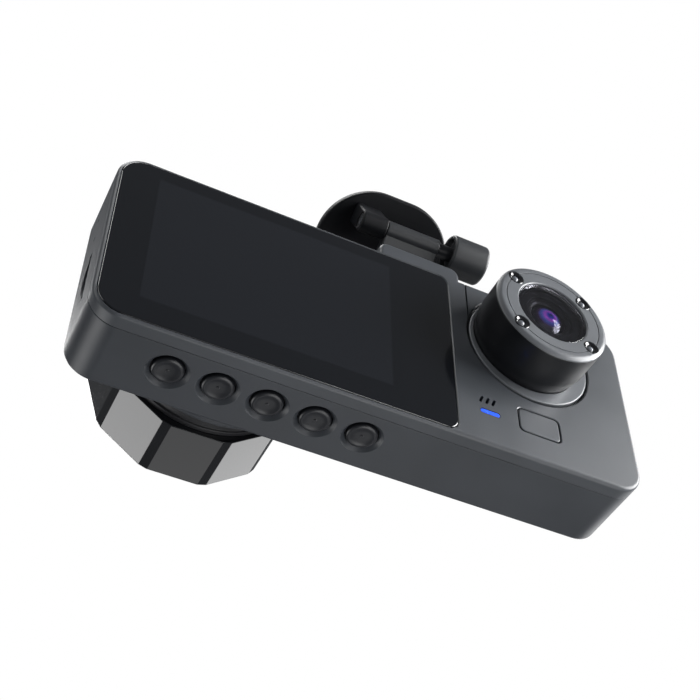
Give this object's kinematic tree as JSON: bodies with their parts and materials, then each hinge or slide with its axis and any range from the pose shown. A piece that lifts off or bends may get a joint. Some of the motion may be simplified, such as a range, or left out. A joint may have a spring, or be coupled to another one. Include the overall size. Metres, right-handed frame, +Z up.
{
  "type": "dash camera",
  "caption": "Dash camera with a faceted road lens, a swivelling cabin lens with infrared lamps, a rear screen, keys under the body and a tilting windscreen bracket.",
  "frame": {"origin": "middle of the adhesive pad's outer face, where the bracket sticks to the windscreen", "axes": "+Z up, the road lens looks along -Y, +X along the body towards the road lens's end"},
  "size_m": [0.1076, 0.0477, 0.0738],
  "materials": {
    "shell_plastic": "fine satin texture",
    "cover_plastic": "fine satin texture",
    "bracket_plastic": "satin",
    "lens_gloss": "high gloss",
    "trim_plastic": "satin, fine rings",
    "black_plastic": "satin",
    "key_plastic": "satin",
    "screen_glass": "gloss, smoked",
    "lens_glass": "coated",
    "display": "satin",
    "circuit_board": "solder mask",
    "flex_cable": "polyimide film",
    "steel": "plated",
    "aluminium": "brushed",
    "brass": "turned",
    "foam": "closed-cell foam",
    "battery_wrap": "film wrap",
    "blue_light": "lit, clear",
    "lamp_epoxy": "clear epoxy"
  },
  "bodies": {
    "windscreen_mount": {"adhesive_pad": "foam", "windscreen_plate": "bracket_plastic", "hinge_bolt": "steel"},
    "knob": {"tilt_knob": "bracket_plastic", "knob_insert": "brass"},
    "arm": {"bracket_arm": "bracket_plastic"},
    "camera": {"front_housing": "shell_plastic", "rear_cover": "cover_plastic", "screen_glass": "screen_glass", "display_panel": "display", "main_board": "circuit_board", "display_cable": "flex_cable", "heat_spreader": "aluminium", "battery": "battery_wrap", "loudspeaker": "black_plastic", "housing_screws": "steel", "usb_socket": "steel", "rear_camera_jack": "black_plastic", "card_socket": "steel", "microphone": "steel", "reset_switch": "black_plastic", "status_light": "blue_light", "key_switches": "steel", "power_switch": "steel", "lens_neck": "black_plastic", "lens_barrel": "lens_gloss", "lens_trim_disc": "trim_plastic", "lens_retainer": "trim_plastic", "lens_front_glass": "lens_glass", "lens_stack": "black_plastic", "lens_holder": "black_plastic", "road_sensor_board": "circuit_board"},
    "key_1": {"key_1": "key_plastic"},
    "key_2": {"key_2": "key_plastic"},
    "key_3": {"key_3": "key_plastic"},
    "key_4": {"key_4": "key_plastic"},
    "key_5": {"key_5": "key_plastic"},
    "power_key": {"power_key": "cover_plastic"},
    "swivel": {"swivel_ring": "cover_plastic", "swivel_clip": "steel"},
    "cabin_camera": {"cabin_head": "black_plastic", "cabin_face_ring": "cover_plastic", "cabin_glass": "screen_glass", "cabin_lens": "lens_glass", "infrared_lamps": "lamp_epoxy", "cabin_sensor_board": "circuit_board"}
  },
  "joints": [
    {"name": "camera_tilt", "type": "hinge", "parent": "windscreen_mount", "child": "arm", "pos_m": [0, 0.01247, -0.00544], "axis": [1, 0, 0], "range_deg": [-35, 60]},
    {"name": "knob_turn", "type": "hinge", "parent": "windscreen_mount", "child": "knob", "pos_m": [-0.016, 0.01247, -0.00544], "axis": [1, 0, 0], "range_deg": [-270, 0]},
    {"name": "camera_slide", "type": "slide", "parent": "arm", "child": "camera", "axis": [0, 1, 0], "range_m": [0, 0.008]},
    {"name": "key_1_press", "type": "slide", "parent": "camera", "child": "key_1", "axis": [0, 0, 1], "range_m": [0, 0.0004], "stiffness_N_per_m": 60, "springref_m": -0.001},
    {"name": "key_2_press", "type": "slide", "parent": "camera", "child": "key_2", "axis": [0, 0, 1], "range_m": [0, 0.0004], "stiffness_N_per_m": 60, "springref_m": -0.001},
    {"name": "key_3_press", "type": "slide", "parent": "camera", "child": "key_3", "axis": [0, 0, 1], "range_m": [0, 0.0004], "stiffness_N_per_m": 60, "springref_m": -0.001},
    {"name": "key_4_press", "type": "slide", "parent": "camera", "child": "key_4", "axis": [0, 0, 1], "range_m": [0, 0.0004], "stiffness_N_per_m": 60, "springref_m": -0.001},
    {"name": "key_5_press", "type": "slide", "parent": "camera", "child": "key_5", "axis": [0, 0, 1], "range_m": [0, 0.0004], "stiffness_N_per_m": 60, "springref_m": -0.001},
    {"name": "power_key_press", "type": "slide", "parent": "camera", "child": "power_key", "axis": [0, -1, 0], "range_m": [0, 0.0004], "stiffness_N_per_m": 60, "springref_m": -0.001},
    {"name": "cabin_swivel", "type": "hinge", "parent": "camera", "child": "swivel", "pos_m": [-0.0233, 0.02077, -0.03924], "axis": [0, 1, 0], "range_deg": [-90, 90]},
    {"name": "cabin_tilt", "type": "hinge", "parent": "swivel", "child": "cabin_camera", "pos_m": [-0.0224, 0.02517, -0.03864], "axis": [1, 0, 0], "range_deg": [-15, 15]}
  ]
}
